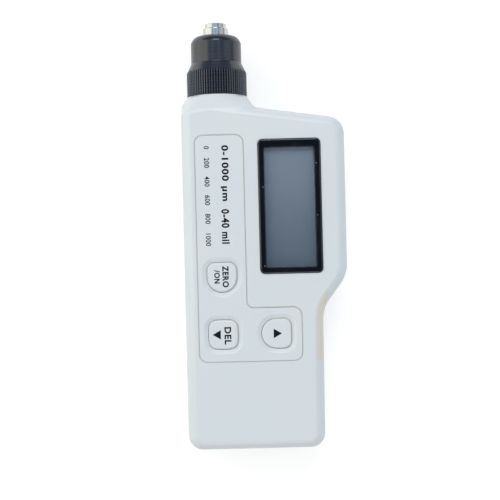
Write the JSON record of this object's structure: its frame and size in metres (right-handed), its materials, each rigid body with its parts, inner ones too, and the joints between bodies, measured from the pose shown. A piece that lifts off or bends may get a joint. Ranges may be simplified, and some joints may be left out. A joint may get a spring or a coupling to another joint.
{
  "type": "coating thickness gauge",
  "caption": "Pocket coating thickness gauge with a sprung probe at its upper corner, a display, an L-shaped key panel and a sliding battery door.",
  "frame": {"origin": "on the resting surface, under the middle of the gauge's box", "axes": "+Y along the gauge towards the probe tip, +Z out of the display, +X to the right"},
  "size_m": [0.0616, 0.1622, 0.0305],
  "materials": {
    "housing_white": "fine satin moulded",
    "key_white": "satin moulded",
    "frame_black": "polished",
    "window_clear": "clear",
    "display_grey": "satin polariser",
    "natural_nylon": "moulded",
    "contact_rubber": "matt",
    "board_green": "solder mask",
    "chip_black": "moulded",
    "sleeve_black": "black anodised, turned",
    "tip_nickel": "bright nickel",
    "bush_brass": "turned",
    "winding_copper": "enamelled wire",
    "spring_steel": "zinc plated",
    "cell_jacket": "shrink sleeve"
  },
  "bodies": {
    "housing": {"front_shell": "housing_white", "rear_shell": "housing_white", "key_panel": "housing_white", "display_bezel": "frame_black", "display_window": "window_clear", "lcd_glass": "display_grey", "lcd_holder": "natural_nylon", "probe_plug": "natural_nylon", "contact_strips": "contact_rubber", "probe_lead": "contact_rubber", "main_board": "board_green", "processor": "chip_black", "probe_amplifier": "chip_black", "zero_switch": "chip_black", "del_switch": "chip_black", "up_switch": "chip_black", "probe_sleeve": "sleeve_black", "crystal": "tip_nickel", "battery_contacts": "tip_nickel", "probe_bush": "bush_brass", "probe_spring": "spring_steel", "shell_screws": "spring_steel", "board_screws": "spring_steel", "battery_cell_1": "cell_jacket", "battery_cell_2": "cell_jacket", "battery_cell_3": "cell_jacket", "battery_cell_4": "cell_jacket"},
    "zero_button": {"zero_key": "key_white", "zero_plunger": "chip_black"},
    "del_button": {"del_key": "key_white", "del_plunger": "chip_black"},
    "up_button": {"up_key": "key_white", "up_plunger": "chip_black"},
    "sprung_tip": {"probe_tip": "tip_nickel", "probe_core": "tip_nickel", "coil_former": "natural_nylon", "probe_coil": "winding_copper"},
    "door": {"battery_door": "housing_white"}
  },
  "joints": [
    {"name": "zero_press", "type": "slide", "parent": "housing", "child": "zero_button", "axis": [0, 0, -1], "range_m": [0, 0.0005], "stiffness_N_per_m": 1500},
    {"name": "del_press", "type": "slide", "parent": "housing", "child": "del_button", "axis": [0, 0, -1], "range_m": [0, 0.0005], "stiffness_N_per_m": 1500},
    {"name": "up_press", "type": "slide", "parent": "housing", "child": "up_button", "axis": [0, 0, -1], "range_m": [0, 0.0005], "stiffness_N_per_m": 1500},
    {"name": "tip_press", "type": "slide", "parent": "housing", "child": "sprung_tip", "axis": [0, -1, 0], "range_m": [0, 0.003], "stiffness_N_per_m": 500, "springref_m": -0.001, "deforming": ["probe_spring"]},
    {"name": "door_slide", "type": "slide", "parent": "housing", "child": "door", "axis": [0, -1, 0], "range_m": [0, 0.054]}
  ]
}
